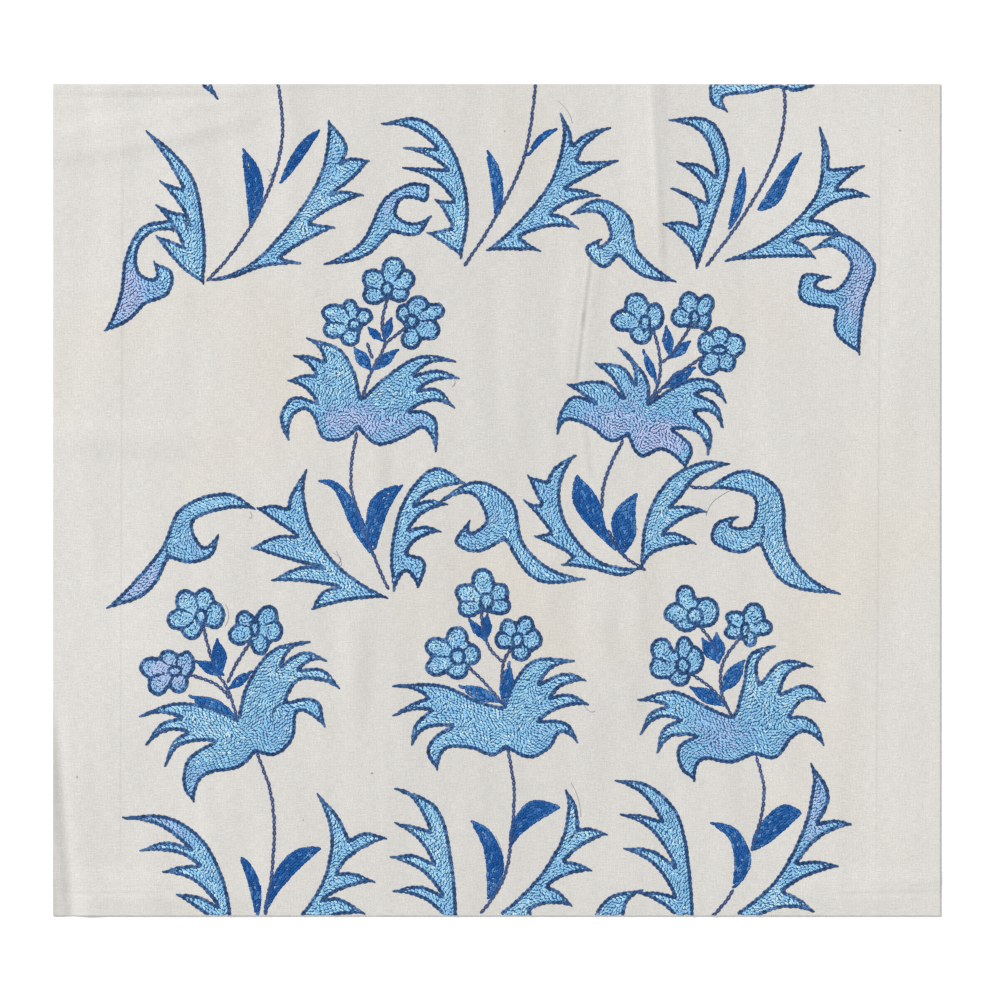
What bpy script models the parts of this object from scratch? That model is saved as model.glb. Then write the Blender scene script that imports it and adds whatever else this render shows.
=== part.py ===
"""A cut length of plain white cotton for needlework, lying flat on its underside.

The cloth is one sheet of even thickness. It lies flat but for a few soft creases, where it
lifts off the surface as a low ridge. The origin is under the middle of the cloth, +X runs along
its longer side, +Y towards its top edge and +Z up.
"""

import math

import bpy

# Driving sizes, in metres
WIDTH = 0.400
DEPTH = 0.375
THICKNESS = 0.0012
CELL = 0.0058

# A ridge rises from nothing at its ends over this share of its length
END_SHARE = 0.3

# The four corners lie flat: no crease lifts the cloth nearer to a corner than CORNER_FLAT, and
# each has its full height CORNER_EASE further in.
CORNER_FLAT = 0.006
CORNER_EASE = 0.020

MM = 0.001

# The soft creases. Places are in millimetres from the middle of the cloth, and one that runs
# off an edge starts or ends past it. The bow is how far the middle stands to the left of the
# straight line, seen from the start.
COLUMNS = ("name", "start", "end", "bow", "rise", "half_width")
RIDGES = (
    ("tall fold, upper right", (69.0, 225.0), (72.5, 88.0), 1.5, 1.10, 15.0),
    ("pucker beside the right flower", (42.0, 118.0), (35.0, 42.0), -1.5, 0.70, 11.0),
    ("sweep across the upper left corner", (-232.0, 158.0), (-88.0, 186.0), -5.0, 0.90, 14.0),
    ("fold along the top left edge", (-236.0, 184.0), (-92.0, 183.0), 0.5, 0.55, 11.0),
    ("level crease at the left", (-226.0, 30.0), (-122.0, 26.5), 0.0, 0.55, 12.0),
    ("slanting crease at the lower left", (-203.0, -92.0), (-186.0, -222.0), -2.0, 1.00, 13.0),
    ("lower left fold", (-235.0, -174.0), (-84.0, -178.0), -1.0, 0.70, 12.0),
    ("lower right fold", (112.0, -178.5), (235.0, -176.0), 1.0, 0.60, 12.0),
    ("pucker above the middle leaf", (-95.0, 205.0), (-92.0, 146.0), 1.0, 0.60, 11.0),
    ("pucker under the left flower", (-57.0, 30.0), (-54.0, -34.0), 1.5, 0.65, 11.0),
    ("pucker in the lower middle", (40.0, -38.0), (66.0, -106.0), -2.0, 0.60, 12.0),
    ("pucker below the left leaf", (-65.0, -42.0), (-69.0, -104.0), 1.5, 0.55, 11.0),
)


def remove_old_objects():
    for obj in list(bpy.data.objects):
        bpy.data.objects.remove(obj, do_unlink=True)


def ease(share):
    """From 0 to 1 with a level start and end."""
    share = max(0.0, min(1.0, share))
    return share * share * (3.0 - 2.0 * share)


def ridge_height(x, y, ridge):
    """How far one crease lifts the cloth at a point, in metres."""
    row = dict(zip(COLUMNS, ridge))
    start_x, start_y = row["start"][0] * MM, row["start"][1] * MM
    run_x = row["end"][0] * MM - start_x
    run_y = row["end"][1] * MM - start_y
    length = math.hypot(run_x, run_y)
    along = ((x - start_x) * run_x + (y - start_y) * run_y) / length**2
    if not 0.0 < along < 1.0:
        return 0.0
    across = ((y - start_y) * run_x - (x - start_x) * run_y) / length
    across -= row["bow"] * MM * 4.0 * along * (1.0 - along)
    reach = abs(across) / (row["half_width"] * MM)
    if reach >= 1.0:
        return 0.0
    crest = 0.5 * (1.0 + math.cos(math.pi * reach))
    return row["rise"] * MM * crest * ease(min(along, 1.0 - along) / END_SHARE)


def away_from_corner(x, y):
    """0 at a corner of the cloth, rising to 1 a little way in."""
    distance = math.hypot(WIDTH / 2 - abs(x), DEPTH / 2 - abs(y))
    return ease((distance - CORNER_FLAT) / CORNER_EASE)


def cloth_height(x, y):
    return away_from_corner(x, y) * sum(ridge_height(x, y, ridge) for ridge in RIDGES)


def cotton_material():
    material = bpy.data.materials.new("unbleached cotton")
    material.use_nodes = True
    shader = material.node_tree.nodes["Principled BSDF"]
    shader.inputs["Base Color"].default_value = (0.72, 0.70, 0.66, 1.0)
    shader.inputs["Roughness"].default_value = 0.92
    shader.inputs["Metallic"].default_value = 0.0
    return material


def ground_cloth(collection):
    """The one piece of cloth: a grid lifted along its creases, then given its thickness."""
    bpy.ops.mesh.primitive_grid_add(
        x_subdivisions=round(WIDTH / CELL),
        y_subdivisions=round(DEPTH / CELL),
        size=1.0,
    )
    cloth = bpy.context.active_object
    cloth.name = "ground_cloth"
    cloth.data.name = "ground_cloth"
    for vertex in cloth.data.vertices:
        vertex.co.x *= WIDTH
        vertex.co.y *= DEPTH
        vertex.co.z = cloth_height(vertex.co.x, vertex.co.y)
    solidify = cloth.modifiers.new("cloth thickness", "SOLIDIFY")
    solidify.thickness = THICKNESS
    solidify.offset = 1.0
    cloth.data.materials.append(cotton_material())
    for old in list(cloth.users_collection):
        old.objects.unlink(cloth)
    collection.objects.link(cloth)
    return cloth


def main():
    remove_old_objects()
    collection = bpy.data.collections.new("embroidered textile")
    bpy.context.scene.collection.children.link(collection)
    ground_cloth(collection)


main()
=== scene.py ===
# %% [markdown]
# # A length of cotton worked in blue chain stitch
# The cloth lies flat, seen from straight above. On it stand rows of flower sprays, sewn in
# chain stitch: a navy outline round each shape, rows of sky blue inside, and royal blue leaves.
# In this lesson the cloth is a lifted grid, the design is drawn from short tables, and one
# chain link is modelled and then copied thousands of times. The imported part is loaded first. It
# gives the place and size that everything has to keep.

# %% Load the frame
import math

import bpy
import numpy as np
from mathutils import Matrix


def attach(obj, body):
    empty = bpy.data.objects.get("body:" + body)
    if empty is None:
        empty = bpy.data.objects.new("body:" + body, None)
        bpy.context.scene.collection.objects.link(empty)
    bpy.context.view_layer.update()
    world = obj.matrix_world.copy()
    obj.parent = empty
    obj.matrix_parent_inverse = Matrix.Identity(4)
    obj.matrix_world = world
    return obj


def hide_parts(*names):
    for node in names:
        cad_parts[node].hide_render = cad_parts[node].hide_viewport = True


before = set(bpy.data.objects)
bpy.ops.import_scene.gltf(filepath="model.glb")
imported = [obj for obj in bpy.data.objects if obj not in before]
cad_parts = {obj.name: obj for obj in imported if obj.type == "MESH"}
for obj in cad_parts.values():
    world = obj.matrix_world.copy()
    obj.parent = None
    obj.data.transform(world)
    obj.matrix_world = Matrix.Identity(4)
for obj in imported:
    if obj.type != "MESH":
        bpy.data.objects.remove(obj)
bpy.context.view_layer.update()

# %% [markdown]
# ## The squared paper
# An embroiderer plans a design on squared paper and copies it to the cloth square by square.
# Here the cloth is 887 squares wide, so one square is 0.45 mm. Squares are counted to the right
# and down from the sheet's upper left corner, and the cloth's own upper left corner is at
# (53, 84). Every place in the tables below is a square, and `at` turns it into metres.

# %% The squared paper
WIDTH, DEPTH = 0.400, 0.375
SQUARE = WIDTH / 887
LEFT, RIGHT, TOP, BOTTOM = 53, 940, 84, 915.5
MIDDLE = ((LEFT + RIGHT) / 2, (TOP + BOTTOM) / 2)


def at(places):
    """Squares on the paper as metres on the cloth."""
    places = np.asarray(places, float)
    return (places - MIDDLE) * (SQUARE, -SQUARE)


print("one square is", round(SQUARE * 1000, 3), "mm")

# %% [markdown]
# ## The toothed leaves
# A leaf is drawn as a few edges. Each row below is one edge: it starts at a corner, which is a
# root, a tip or the notch between two teeth, and passes smoothly through the places after it,
# up to the corner that starts the next row. Only corners stay sharp, so a handful of places
# makes a whole leaf, and any of them can be moved to make another one.

# %% The toothed leaves
LEAVES = {
    "top left": (
        (((203, 282), (205, 243), (195, 182), (172, 151)), ((148, 133), (167, 160)),
         ((184, 190),), ((161, 182), (173, 196)), ((187, 216), (174, 212)),
         ((157, 206), (173, 226)), ((184, 248), (172, 241)), ((157, 237), (182, 268))),
        (((212, 280), (250, 264), (289, 224), (320, 174)), ((329, 122), (347, 146)),
         ((340, 165), (350, 158)), ((368, 161), (350, 181)), ((329, 195), (342, 191)),
         ((361, 195), (332, 208)), ((308, 223),), ((333, 227), (302, 243)), ((279, 258),),
         ((299, 263), (262, 267), (235, 277))),
    ),
    "top middle": (
        (((461, 256), (468, 205), (452, 148), (421, 119)), ((384, 124), (412, 129)),
         ((438, 149), (422, 148)), ((406, 148), (430, 157)), ((448, 170), (427, 168)),
         ((405, 168), (434, 180)), ((455, 202),), ((436, 200), (445, 213)), ((453, 228),),
         ((428, 233), (448, 246))),
        (((488, 250), (521, 219), (551, 180), (563, 138)), ((561, 115), (570, 131)),
         ((572, 146), (586, 134)), ((608, 128), (586, 145)), ((576, 162), (595, 162)),
         ((616, 161), (590, 175)), ((564, 189), (582, 190)), ((599, 196), (572, 201)),
         ((549, 214), (565, 217)), ((576, 227), (547, 227)), ((518, 237),),
         ((538, 250), (510, 250))),
    ),
    "top right": (
        (((697, 267), (716, 213), (729, 160), (711, 121)), ((672, 120), (703, 135)),
         ((717, 178), (701, 165)), ((679, 163), (700, 181)), ((708, 204), (692, 195)),
         ((673, 189), (694, 204)), ((699, 229), (683, 222)), ((664, 224), (689, 247))),
        (((728, 260), (779, 234), (816, 194), (822, 156)), ((820, 129), (828, 148)),
         ((828, 170), (843, 168)), ((863, 166), (845, 180)), ((835, 190), (851, 189)),
         ((868, 196), (836, 202)), ((810, 220), (826, 222)), ((845, 237), (818, 235)),
         ((791, 241), (803, 244)), ((814, 257), (777, 257))),
    ),
    "middle left": (
        (((385, 597), (341, 568), (313, 531), (304, 493)), ((306, 471), (290, 497)),
         ((288, 510), (273, 505)), ((258, 509), (278, 523)), ((299, 537), (277, 536)),
         ((253, 548), (290, 560)), ((325, 568), (300, 567)), ((274, 580), (308, 582)),
         ((340, 587), (322, 592)), ((313, 609), (350, 600))),
        (((394, 589), (391, 550), (404, 500), (434, 468)), ((464, 483), (434, 490)),
         ((413, 506), (429, 500)), ((445, 504), (422, 514)), ((408, 531), (424, 526)),
         ((439, 531), (415, 541)), ((406, 555), (425, 561)), ((418, 587), (406, 571))),
    ),
    "middle right": (
        (((637, 569), (598, 560), (567, 525), (560, 487)), ((574, 456), (553, 469)),
         ((548, 483), (541, 480)), ((529, 477), (536, 494)), ((543, 505), (534, 505)),
         ((526, 502), (542, 521)), ((552, 534), (544, 534)), ((536, 537), (555, 546)),
         ((574, 556),), ((564, 565), (593, 569), (621, 576))),
        (((641, 568), (646, 520), (667, 481), (701, 462)), ((728, 464), (702, 474)),
         ((688, 485), (680, 498)), ((670, 507), (687, 506)), ((704, 511), (682, 519)),
         ((662, 534), (677, 533)), ((694, 543), (655, 552))),
    ),
    "bottom left": (
        (((232, 930), (225, 884), (203, 840), (168, 817)), ((125, 818), (160, 826)),
         ((191, 850), (167, 842)), ((143, 850), (178, 853)), ((200, 866), (182, 866)),
         ((164, 872), (194, 881)), ((219, 907), (197, 896)), ((178, 895), (198, 909)),
         ((228, 930),)),
        (((288, 930), (321, 884), (331, 838)), ((318, 795), (339, 818)),
         ((349, 841), (364, 833)), ((384, 838), (352, 855)), ((336, 874), (353, 873)),
         ((372, 881), (342, 889)), ((321, 901), (338, 898)), ((363, 913), (330, 917)),
         ((318, 930),)),
    ),
    "bottom middle": (
        (((457, 930), (452, 862), (437, 808)), ((397, 789), (414, 800)),
         ((431, 832), (414, 826)), ((397, 824), (419, 840)), ((434, 865), (415, 855)),
         ((393, 857), (424, 873)), ((443, 897), (421, 886)), ((395, 891), (427, 901)),
         ((456, 930),)),
        (((480, 928), (528, 889), (560, 843), (568, 808)), ((566, 791), (576, 806)),
         ((578, 830), (590, 828)), ((605, 834), (580, 847)), ((563, 862), (577, 863)),
         ((590, 870), (564, 876)), ((546, 887), (558, 891)), ((571, 905), (546, 904)),
         ((528, 910), (532, 917)), ((530, 930),)),
    ),
    "bottom right": (
        (((694, 930), (690, 872), (679, 816), (649, 785)), ((617, 781), (642, 794)),
         ((662, 822), (640, 815)), ((622, 815), (651, 830)), ((676, 868), (652, 850)),
         ((626, 849), (655, 866)), ((675, 897), (656, 892)), ((640, 893), (666, 907)),
         ((686, 930),)),
        (((716, 926), (770, 886), (801, 834), (813, 785)), ((812, 766), (829, 795)),
         ((817, 824), (834, 820)), ((850, 824), (820, 837)), ((796, 864), (815, 861)),
         ((837, 866), (803, 878)), ((782, 891), (799, 899)), ((813, 911), (780, 908)),
         ((740, 926),)),
    ),
}
print(sum(len(leaves) for leaves in LEAVES.values()), "toothed leaves")

# %% [markdown]
# ## The flower heads
# A head is drawn like a leaf, but it has a wing of curved teeth to either side and two round
# lobes below. The edges start at the notch between the two wings and run round the head.

# %% The flower heads
HEADS = {
    "middle left": (
        ((361, 400), (354, 371), (340, 349)), ((308, 339), (319, 348)), ((325, 363), (311, 356)),
        ((295, 356), (308, 364)), ((317, 376), (303, 375)), ((289, 381), (306, 389)),
        ((318, 404), (293, 397), (280, 418)), ((288, 439), (292, 417), (305, 409), (314, 418),
        (323, 439), (345, 439)), ((358, 427), (377, 445), (404, 438), (424, 428)),
        ((436, 450), (436, 420), (424, 411)), ((408, 412), (431, 401)),
        ((452, 406), (438, 389)), ((417, 391), (434, 381)), ((458, 378), (437, 370)),
        ((413, 376), (430, 363)), ((454, 361), (420, 356), (385, 377))),
    "middle right": (
        ((648, 404), (647, 378)), ((620, 349), (632, 364)), ((635, 386), (623, 367)),
        ((597, 364), (612, 378)), ((624, 399), (605, 382)), ((569, 385), (583, 395)),
        ((597, 404), (573, 396), (560, 413)), ((558, 432), (566, 420), (590, 427), (611, 442)),
        ((628, 434), (640, 457), (662, 450)), ((685, 467), (692, 447)),
        ((671, 429), (698, 433)), ((708, 452), (711, 431)), ((693, 412), (711, 412)),
        ((722, 426), (717, 405)), ((695, 394), (711, 391)),
        ((725, 401), (714, 381), (688, 380))),
    "bottom left": (
        ((238, 720), (210, 707), (174, 703)), ((142, 716), (162, 713)), ((182, 718), (161, 724)),
        ((147, 744), (166, 731)), ((189, 732), (174, 741)), ((166, 764), (181, 745)),
        ((217, 741), (188, 759), (183, 785)), ((193, 800), (204, 776), (240, 767)),
        ((255, 751), (276, 755), (293, 738), (298, 711)), ((324, 725), (316, 700)),
        ((285, 703), (298, 681), (319, 680)), ((338, 687), (322, 669)), ((298, 671), (310, 661)),
        ((325, 660), (304, 652)), ((281, 666), (291, 649)),
        ((308, 642), (272, 650), (247, 684))),
    "bottom middle": (
        ((504, 708), (478, 701), (442, 685)), ((395, 686), (415, 690)), ((429, 698), (413, 703)),
        ((395, 715), (413, 710)), ((432, 710), (415, 725)), ((412, 744), (425, 729)),
        ((454, 726), (433, 738), (427, 753)), ((437, 768), (446, 749), (473, 749),
        (492, 756)), ((506, 747), (530, 758), (551, 747), (560, 732)), ((576, 740), (567, 723)),
        ((538, 721), (560, 708)), ((587, 704), (569, 694)), ((550, 698), (562, 686)),
        ((584, 680), (566, 673)), ((539, 684), (552, 668)),
        ((573, 661), (534, 660), (513, 683))),
    "bottom right": (
        ((734, 718), (706, 706), (675, 691)), ((640, 700), (655, 702)), ((669, 706), (650, 713)),
        ((642, 732), (658, 718)), ((681, 720), (663, 729)), ((658, 751), (671, 737)),
        ((697, 736), (678, 748), (681, 769)), ((694, 779), (702, 760), (731, 763)),
        ((754, 753), (776, 758), (792, 738), (805, 732)), ((823, 744), (817, 725), (803, 716)),
        ((789, 718), (804, 700)), ((824, 701), (808, 685)), ((779, 695), (790, 672)),
        ((811, 666), (782, 661)), ((760, 685), (758, 662)),
        ((774, 646), (750, 654), (743, 684))),
}
print(len(HEADS), "flower heads")

# %% [markdown]
# ## The scrolls
# Between the sprays stand comma-shaped scrolls, each with a long tail and one or two curls.

# %% The scrolls
SCROLLS = {
    "top left": (
        (((172, 221), (142, 227), (125, 258), (120, 295)), ((106, 330), (128, 321)),
         ((146, 302), (168, 294), (172, 272)), ((155, 264), (155, 279), (139, 272),
         (138, 248), (152, 232)), ((173, 230),)),
        (((187, 76), (200, 84)), ((217, 98), (211, 84), (210, 76))),
    ),
    "top middle": (
        (((325, 264), (361, 242), (384, 199), (411, 183)), ((428, 186), (428, 200)),
         ((424, 201), (402, 199), (396, 214), (411, 223)), ((429, 218), (417, 235)),
         ((391, 231), (364, 257))),
        (((572, 214), (600, 199), (630, 217), (638, 250)), ((674, 281), (642, 276)),
         ((618, 254), (603, 268), (585, 249)), ((599, 240), (599, 247), (610, 236),
         (600, 214))),
    ),
    "top right": (
        (((814, 249), (843, 234), (875, 264), (864, 305)), ((859, 352), (835, 332)),
         ((837, 308), (801, 300), (803, 275)), ((828, 277), (815, 285), (835, 290),
         (851, 265), (835, 248))),
        (((711, 76), (711, 102)), ((726, 110), (723, 97), (750, 93)), ((779, 86), (796, 91)),
         ((813, 85), (813, 76))),
    ),
    "middle left": (
        (((253, 508), (226, 493), (181, 508), (160, 550)), ((109, 607), (148, 592)),
         ((168, 557), (192, 563), (212, 555)), ((218, 536), (203, 547), (193, 522),
         (225, 509))),
        (((441, 501), (477, 481), (512, 500), (523, 542), (548, 567)), ((582, 579), (536, 580)),
         ((505, 538), (478, 552), (455, 543)), ((469, 522), (470, 533), (486, 520),
         (471, 494))),
    ),
    "middle right": (
        (((709, 488), (745, 470), (780, 491), (788, 547), (810, 577)), ((838, 593), (784, 583)),
         ((760, 543), (740, 553), (712, 541), (716, 523)), ((736, 517), (731, 526),
         (751, 525), (754, 498), (731, 490))),
    ),
    "bottom right": (
        (((590, 926), (608, 898)), ((640, 891), (627, 902), (620, 926))),
    ),
}
print(sum(len(scrolls) for scrolls in SCROLLS.values()), "scrolls and parts of scrolls")

# %% [markdown]
# ## The dark leaves
# The small plain leaves are worked in royal blue. A large one has two corners, its tip and its
# base. A small one by the flowers is only a tip, a base and a width.

# %% The dark leaves
DARK_LEAVES = {
    "top left": (
        (((241, 146), (246, 190)), ((250, 229), (262, 203), (260, 172))),
        (((323, 126), (297, 147)), ((277, 189), (299, 163))),
    ),
    "top middle": (
        (((485, 147), (492, 190)), ((495, 222), (503, 196), (499, 168))),
        (((563, 126), (540, 135)), ((522, 164), (544, 140))),
    ),
    "top right": (
        (((743, 163), (734, 198)), ((727, 234), (741, 211), (746, 186))),
        (((805, 147), (782, 171)), ((756, 212), (778, 203), (793, 171))),
    ),
    "middle left": (
        (((311, 481), (336, 482), (358, 509)), ((376, 561), (353, 530), (333, 489))),
        (((405, 483), (374, 496), (366, 526)), ((375, 553), (388, 511))),
    ),
    "middle right": (
        (((576, 474), (598, 499), (609, 535)), ((641, 569), (604, 541), (574, 505))),
        (((638, 491), (612, 518)), ((622, 555), (635, 537), (635, 510))),
    ),
    "bottom left": (
        (((239, 856), (248, 883)), ((257, 922), (261, 890), (250, 863))),
        (((323, 847), (294, 851), (272, 878)), ((263, 918), (283, 886))),
    ),
    "bottom middle": (
        (((468, 819), (484, 850)), ((487, 903), (504, 868), (491, 832))),
        (((562, 807), (531, 801), (512, 824)), ((509, 849), (526, 830))),
    ),
    "bottom right": (
        (((705, 822), (731, 842)), ((732, 892), (751, 862), (736, 829))),
        (((803, 812), (782, 805), (756, 830)), ((751, 852), (770, 842))),
    ),
}
SMALL_LEAVES = {
    "middle left": (
        ((368, 328), (382, 340), 9), ((391, 318), (384, 341), 10),
        ((354, 348), (371, 370), 13), ((398, 349), (373, 370), 11),
    ),
    "middle right": (
        ((643, 350), (657, 384), 8), ((666, 326), (670, 356), 11),
        ((690, 341), (671, 358), 11), ((695, 367), (664, 388), 13),
    ),
    "bottom left": (
        ((217, 639), (221, 674), 15), ((196, 661), (224, 675), 12),
        ((252, 671), (229, 689), 10), ((189, 696), (236, 716), 15),
    ),
    "bottom middle": (
        ((469, 619), (485, 640), 9), ((487, 614), (486, 640), 11),
        ((509, 662), (505, 710), 14), ((459, 686), (501, 702), 13),
    ),
    "bottom right": (
        ((702, 639), (718, 662), 13), ((716, 633), (719, 663), 15),
        ((744, 660), (722, 692), 16), ((690, 687), (724, 705), 14),
    ),
}
print(sum(map(len, DARK_LEAVES.values())), "large and",
      sum(map(len, SMALL_LEAVES.values())), "small dark leaves")

# %% [markdown]
# ## Stems and flowers
# Stems and twigs are single rows of open chain. A flower is four or five oval petals, and the
# table gives the middle, half width and half height of each petal in turn, and last the same
# for the small ring inside the flower.

# %% Stems and flowers
STEMS = {
    "top left": (((207, 281), (238, 245), (266, 196), (282, 140), (277, 78)),),
    "top middle": (((464, 266), (498, 213), (524, 157), (536, 78)),),
    "top right": (((706, 266), (745, 213), (775, 157), (785, 110), (782, 82)),),
    "middle left": (
        ((357, 433), (351, 483), (364, 530), (388, 589)),
        ((387, 298), (382, 326), (385, 344), (372, 370), (361, 400)),
        ((406, 327), (391, 339), (384, 345)), ((367, 343), (372, 358)),
    ),
    "middle right": (
        ((623, 440), (605, 480), (602, 508)), ((609, 530), (620, 552), (645, 570)),
        ((653, 329), (660, 359), (658, 384), (648, 403)), ((690, 326), (673, 353), (662, 362)),
        ((702, 357), (665, 385), (651, 402)), ((690, 487), (709, 488)),
    ),
    "bottom left": (
        ((257, 753), (272, 800), (273, 860), (264, 920)),
        ((203, 626), (215, 668), (228, 690), (237, 719)), ((251, 641), (235, 666), (228, 682)),
        ((187, 674), (217, 685), (229, 698)),
    ),
    "bottom middle": (
        ((507, 747), (514, 790), (511, 840), (503, 880), (474, 921)),
        ((481, 609), (488, 645), (503, 662)), ((467, 666), (486, 684), (503, 704)),
        ((511, 648), (503, 664), (502, 684)),
    ),
    "bottom right": (
        ((756, 757), (764, 795), (752, 850)), ((733, 890), (722, 906), (708, 920)),
        ((697, 624), (710, 639), (716, 652)), ((742, 636), (723, 663), (721, 690), (731, 715)),
        ((690, 673), (712, 689), (727, 707)),
    ),
}
FLOWERS = {
    "middle left": (
        ((373, 279, 11.5, 11.5), (393, 268, 12, 12), (406, 279, 9.5, 10.5),
         (399, 293, 10.5, 10), (374, 295, 12, 10.5), (387, 289.5, 5.5, 7.5)),
        ((334, 313, 13.5, 10), (350, 307, 8, 9), (364, 316, 9.5, 9), (350, 337, 10.5, 10),
         (333, 330, 11, 9), (354.5, 325, 6, 6)),
        ((404, 313, 9, 10), (418, 306, 12, 11), (436, 311, 9.5, 9), (430, 330, 10.5, 11),
         (411, 339, 11, 11), (411.5, 321.5, 6, 7)),
    ),
    "middle right": (
        ((636, 305, 12.5, 13), (655, 316, 9.5, 14.5), (641, 333, 12, 12), (624, 320.5, 14, 11.5),
         (645, 323, 5, 8)),
        ((689, 302, 10.5, 11), (706.5, 303.5, 8.5, 10.5), (704, 320, 8, 11.5),
         (692, 318, 10, 11), (681.5, 317, 11.5, 11), (694.5, 318, 4.5, 7.5)),
        ((720, 337, 12, 11), (735, 345, 11, 12), (727, 361, 9.5, 12), (709, 365, 11, 11),
         (706.5, 343, 9.5, 12.5), (719, 350, 7.5, 4.5)),
    ),
    "bottom left": (
        ((185.5, 600.5, 10.5, 12), (204, 600, 10.5, 13), (214, 615, 11.5, 14.5),
         (191.5, 629, 11, 11.5), (178, 619.5, 12, 11), (201, 617, 5.5, 7.5)),
        ((244.5, 619.5, 9.5, 10), (268, 616, 11, 11.5), (272.5, 631, 11, 12), (260, 643, 10, 13),
         (239.5, 635, 12, 11), (255, 628, 4, 9)),
        ((152, 667.5, 13, 11), (168, 659, 9.5, 10), (185.5, 664, 10, 14), (178.5, 682, 10.5, 12),
         (158, 685, 11, 11), (175, 671, 6.5, 5)),
    ),
    "bottom middle": (
        ((482.5, 580, 11.5, 12.5), (500, 592, 9.5, 10), (499, 606, 13, 9.5),
         (469, 608.5, 12, 9.5), (465.5, 593, 11.5, 10), (486.5, 601.5, 6.5, 8.5)),
        ((457, 638, 12, 12), (472.5, 654.5, 8.5, 11.5), (457.5, 669, 11.5, 11),
         (436.5, 666.5, 12, 10.5), (436, 647, 12, 10.5), (457.5, 656.5, 7, 8)),
        ((508, 627.5, 9, 9.5), (525.5, 625.5, 9.5, 10.5), (532, 639.5, 11, 11.5),
         (521, 651.5, 10.5, 10.5), (504.5, 640, 10.5, 10), (517.5, 640, 5.5, 7.5)),
    ),
    "bottom right": (
        ((685.5, 596, 10.5, 12), (706.5, 612, 13, 16), (686, 622, 13, 10.5),
         (676, 613.5, 13, 11), (695, 616, 7.5, 8)),
        ((754, 614.5, 11.5, 12.5), (763, 627.5, 10.5, 9), (750, 638, 7.5, 10),
         (733.5, 632, 10.5, 8), (734.5, 617.5, 10.5, 7.5), (745, 630, 3.5, 8)),
        ((662, 649, 12, 12), (684, 646, 8.5, 11), (694, 660, 10.5, 15), (679.5, 675, 11.5, 12),
         (661.5, 667.5, 12.5, 12.5), (683, 665.5, 6.5, 8)),
    ),
}
# Dark rows that run on from a notch into the filling
NOTCH_ROWS = {
    "top left": (((187, 213), (190, 226)), ((184, 216), (188, 230))),
    "middle left": (((168, 558), (166, 545)),),
    "middle right": (((760, 544), (764, 526)),),
    "bottom left": (((283, 703), (275, 708), (272, 717)), ((281, 666), (276, 671))),
    "bottom middle": (((578, 829), (571, 838)),),
}
print(sum(map(len, STEMS.values())), "stems and twigs,", sum(map(len, FLOWERS.values())),
      "flowers")

# %% [markdown]
# ## From a few places to a smooth line
# The table's places are joined by a smooth line that goes through every one of them. Each bit of
# the line is a cubic whose slope at a place is that of the line between its two neighbours, so
# the bits meet without a kink. The line is then cut into even steps of half a square, because
# stitches are counted off along it.

# %% A smooth line through places
STEP = 0.5


def smooth_line(places):
    """A line through the places, in even steps of about half a square."""
    places = np.asarray(places, float)
    if len(places) > 2:
        before = np.vstack([2 * places[0] - places[1], places[:-2]])
        slopes = np.vstack([places[1:] - before, places[-1:] - places[-2:-1]])
        gaps = np.linalg.norm(np.diff(places, axis=0), axis=1)
        reach = np.append(gaps[:1], gaps) + np.append(gaps, gaps[-1:])
        slopes[:-1] /= reach[:-1, None]
        slopes[0] = 1.5 * (places[1] - places[0]) / gaps[0] - 0.5 * slopes[1]
        slopes[-1] = 1.5 * (places[-1] - places[-2]) / gaps[-1] - 0.5 * slopes[-2]
        share = np.linspace(0, 1, 24)[:-1, None]
        bits = []
        for start, end, out, into, gap in zip(places, places[1:], slopes, slopes[1:], gaps):
            bits.append((2 * share**3 - 3 * share**2 + 1) * start
                        + (share**3 - 2 * share**2 + share) * gap * out
                        + (3 * share**2 - 2 * share**3) * end
                        + (share**3 - share**2) * gap * into)
        places = np.vstack(bits + [places[-1:]])
    along = np.append(0, np.cumsum(np.linalg.norm(np.diff(places, axis=0), axis=1)))
    counts = max(2, round(along[-1] / STEP) + 1)
    marks = np.linspace(0, along[-1], counts)
    return np.column_stack([np.interp(marks, along, places[:, k]) for k in (0, 1)])


def closed_outline(edges):
    """The edges of a table row joined end to end, with the number of the step at each corner."""
    lines = []
    for edge, following in zip(edges, edges[1:] + edges[:1]):
        lines.append(smooth_line(edge + following[:1])[:-1])
    corners = np.append(0, np.cumsum([len(line) for line in lines]))[:-1]
    outline = np.vstack(lines)
    turned = np.roll(outline, -1, axis=0)
    if np.sum(outline[:, 0] * turned[:, 1] - turned[:, 0] * outline[:, 1]) < 0:
        outline = outline[::-1]
        corners = (len(outline) - corners - 1) % len(outline)
    return outline, np.sort(corners)


sample, sample_corners = closed_outline(LEAVES["top left"][0])
print("first leaf:", len(sample), "steps and", len(sample_corners), "corners")

# %% [markdown]
# ## Rows of stitches
# Chain stitch is worked in rows side by side. The first row goes round the outline, and each
# further one lies a little further in. To find a row, the outline is moved in along its own
# sideways direction; what comes nearer than that to any other part of the outline is left out,
# and the rest is the row. Round a notch the row swings in an arc, so the notch is entered many
# times with directions that turn a little each time.

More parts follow.
